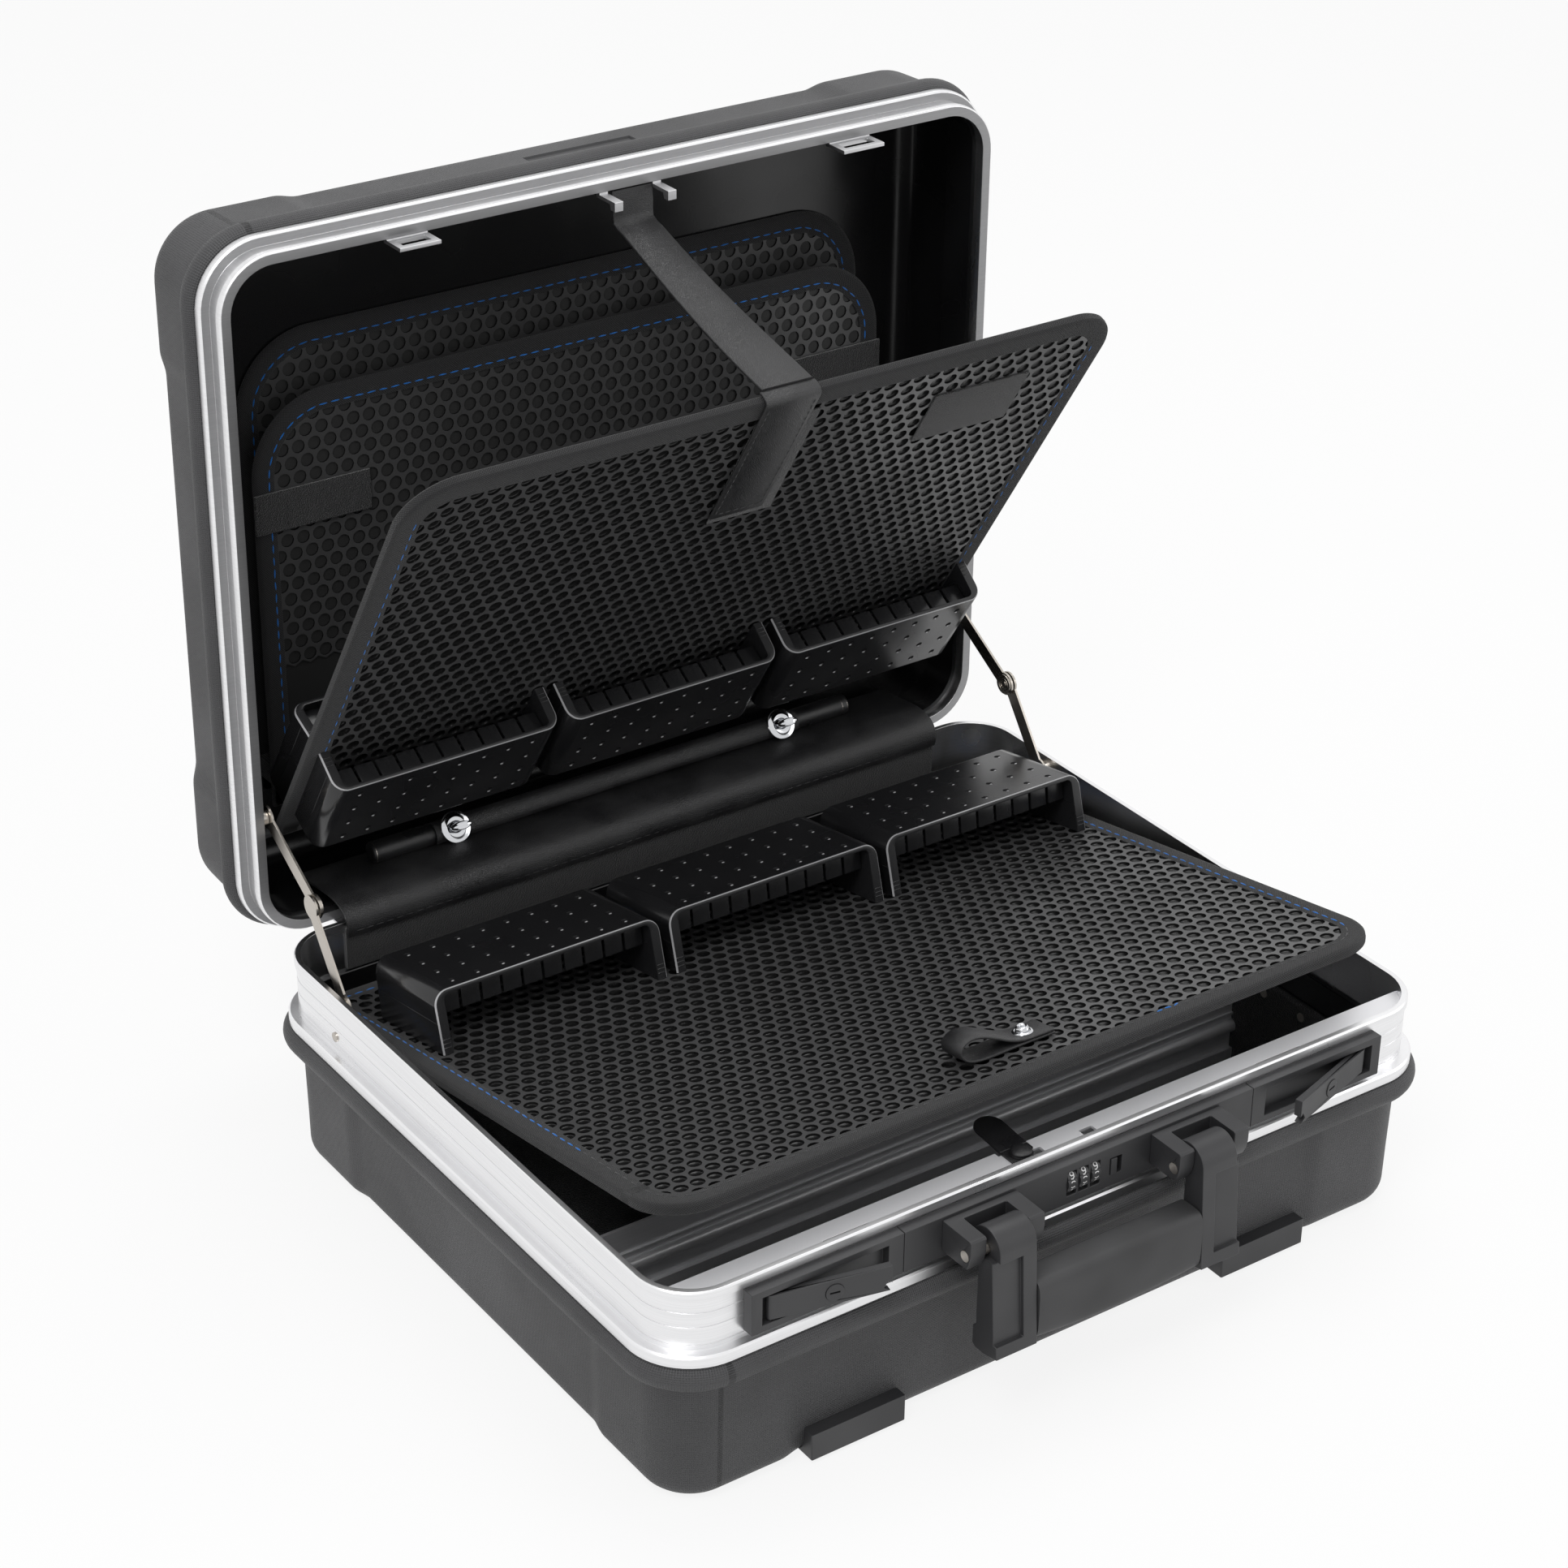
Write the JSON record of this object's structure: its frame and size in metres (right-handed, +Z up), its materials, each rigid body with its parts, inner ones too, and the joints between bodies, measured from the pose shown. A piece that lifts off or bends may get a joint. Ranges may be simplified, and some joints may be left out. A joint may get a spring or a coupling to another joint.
{
  "type": "hard tool case",
  "caption": "Hard tool case, lid open: moulded shells with metal rims, folding tool boards with holders, carrying handle, key latches and number lock.",
  "frame": {"origin": "middle of the base's flat underside", "axes": "+X to the right along the front, -Y towards the handle and latches, +Z up"},
  "size_m": [0.482, 0.5015, 0.5005],
  "materials": {
    "shell": "fine cross-hatched matte",
    "aluminium": "satin, brushed along its length",
    "black_plastic": "fine grained",
    "holder_plastic": "semi-gloss",
    "nickel": "warm nickel",
    "chrome": "bright",
    "board": "dimpled",
    "fabric": "woven and napped",
    "leather": "smooth leatherette"
  },
  "bodies": {
    "base": {"base_shell": "shell", "base_frame": "aluminium", "frame_rivets": "nickel", "wall_rivets": "nickel", "front_feet": "black_plastic", "front_shelf": "aluminium", "lock_strip": "black_plastic", "lock_housing_left": "black_plastic", "lock_housing_right": "black_plastic", "lock_backs": "black_plastic", "combination_case": "black_plastic", "dial_axle": "nickel", "handle_brackets": "black_plastic", "handle_pins": "nickel", "hinge_leaf_base": "aluminium", "hinge_pin": "nickel", "stay_pivots_base": "nickel", "snap_tab": "leather", "snap_flap": "leather", "cover_strip": "fabric", "long_divider": "aluminium", "board_guides": "black_plastic"},
    "lid": {"lid_shell": "shell", "lid_frame": "aluminium", "hinge_leaf_lid": "aluminium", "stay_pivots_lid": "nickel", "lid_catches": "chrome", "lid_claws": "chrome", "pocket_board_rear": "board", "pocket_board_front": "board", "pocket_straps": "fabric", "hinge_cover": "leather", "cover_rod": "leather", "rod_strap": "leather", "turnlock_plates": "chrome", "board_pivots": "black_plastic", "support_strap": "leather"},
    "upper_board": {"upper_board": "board", "upper_holders": "holder_plastic", "rear_holders": "holder_plastic", "board_patches": "fabric", "board_strap": "leather"},
    "lower_board": {"lower_board": "board", "lower_holders": "holder_plastic", "pull_loop": "leather", "board_runners": "black_plastic"},
    "handle": {"handle_frame": "black_plastic", "handle_grip": "black_plastic"},
    "latch_left": {"latch_lever_left": "black_plastic"},
    "latch_right": {"latch_lever_right": "black_plastic"},
    "key_left": {"key_cylinder_left": "black_plastic"},
    "key_right": {"key_cylinder_right": "black_plastic"},
    "dial_1": {"dial_1": "black_plastic"},
    "dial_2": {"dial_2": "black_plastic"},
    "dial_3": {"dial_3": "black_plastic"},
    "release_slide": {"release_slide": "black_plastic"},
    "turnlock_left": {"turnlock_knob_left": "chrome"},
    "turnlock_right": {"turnlock_knob_right": "chrome"},
    "stay_lower": {"stay_lower_links": "nickel"},
    "stay_upper": {"stay_upper_links": "nickel"}
  },
  "joints": [
    {"name": "lid_hinge", "type": "hinge", "parent": "base", "child": "lid", "pos_m": [0, 0.1905, 0.114], "axis": [-1, 0, 0], "range_deg": [-90, 0]},
    {"name": "upper_board_fold", "type": "hinge", "parent": "lid", "child": "upper_board", "pos_m": [0, 0.219, 0.1701], "axis": [1, 0, 0], "range_deg": [-32, 0], "deforming": ["support_strap"]},
    {"name": "lower_board_swing", "type": "hinge", "parent": "base", "child": "lower_board", "pos_m": [0, 0.30961, 0.12725], "axis": [1, 0, 0], "range_deg": [0, 10.25], "deforming": ["snap_flap"]},
    {"name": "stay_lower_fold", "type": "hinge", "parent": "base", "child": "stay_lower", "pos_m": [0, 0.125, 0.116], "axis": [1, 0, 0], "range_deg": [0, 169.5]},
    {"name": "stay_upper_fold", "type": "hinge", "parent": "lid", "child": "stay_upper", "pos_m": [0, 0.20492, 0.18804], "axis": [1, 0, 0], "range_deg": [-62.4, 0]},
    {"name": "handle_pivot", "type": "hinge", "parent": "base", "child": "handle", "pos_m": [0, -0.211, 0.106], "axis": [-1, 0, 0], "range_deg": [0, 95]},
    {"name": "latch_left", "type": "hinge", "parent": "base", "child": "latch_left", "pos_m": [-0.181, -0.1911, 0.1062], "axis": [0, 0, -1], "range_deg": [-12, 50]},
    {"name": "latch_right", "type": "hinge", "parent": "base", "child": "latch_right", "pos_m": [0.181, -0.1911, 0.1062], "axis": [0, 0, 1], "range_deg": [-17, 50]},
    {"name": "key_left", "type": "hinge", "parent": "latch_left", "child": "key_left", "pos_m": [-0.15068, -0.19754, 0.1062], "axis": [-0.2079, -0.9781, 0], "range_deg": [0, 90]},
    {"name": "key_right", "type": "hinge", "parent": "latch_right", "child": "key_right", "pos_m": [0.15135, -0.20016, 0.1062], "axis": [0.2924, -0.9563, 0], "range_deg": [0, 90]},
    {"name": "dial_1_turn", "type": "hinge", "parent": "base", "child": "dial_1", "pos_m": [-0.00725, -0.1872, 0.1062], "axis": [1, 0, 0], "continuous": true},
    {"name": "dial_2_turn", "type": "hinge", "parent": "base", "child": "dial_2", "pos_m": [0, -0.1872, 0.1062], "axis": [1, 0, 0], "continuous": true},
    {"name": "dial_3_turn", "type": "hinge", "parent": "base", "child": "dial_3", "pos_m": [0.00725, -0.1872, 0.1062], "axis": [1, 0, 0], "continuous": true},
    {"name": "release_slide", "type": "slide", "parent": "base", "child": "release_slide", "axis": [1, 0, 0], "range_m": [0, 0.003], "stiffness_N_per_m": 60},
    {"name": "turnlock_left", "type": "hinge", "parent": "lid", "child": "turnlock_left", "pos_m": [-0.1073, 0.221, 0.1367], "axis": [0, -0.8526, 0.5225], "range_deg": [0, 90]},
    {"name": "turnlock_right", "type": "hinge", "parent": "lid", "child": "turnlock_right", "pos_m": [0.1073, 0.221, 0.1367], "axis": [0, -0.8526, 0.5225], "range_deg": [0, 90]}
  ],
  "couplings": [
    {"joint": "upper_board_fold", "follows": "lid_hinge", "ratio": 0.3555},
    {"joint": "lower_board_swing", "follows": "lid_hinge", "ratio": -0.1138},
    {"joint": "stay_lower_fold", "follows": "lid_hinge", "ratio": -1.883},
    {"joint": "stay_upper_fold", "follows": "lid_hinge", "ratio": 0.693}
  ]
}
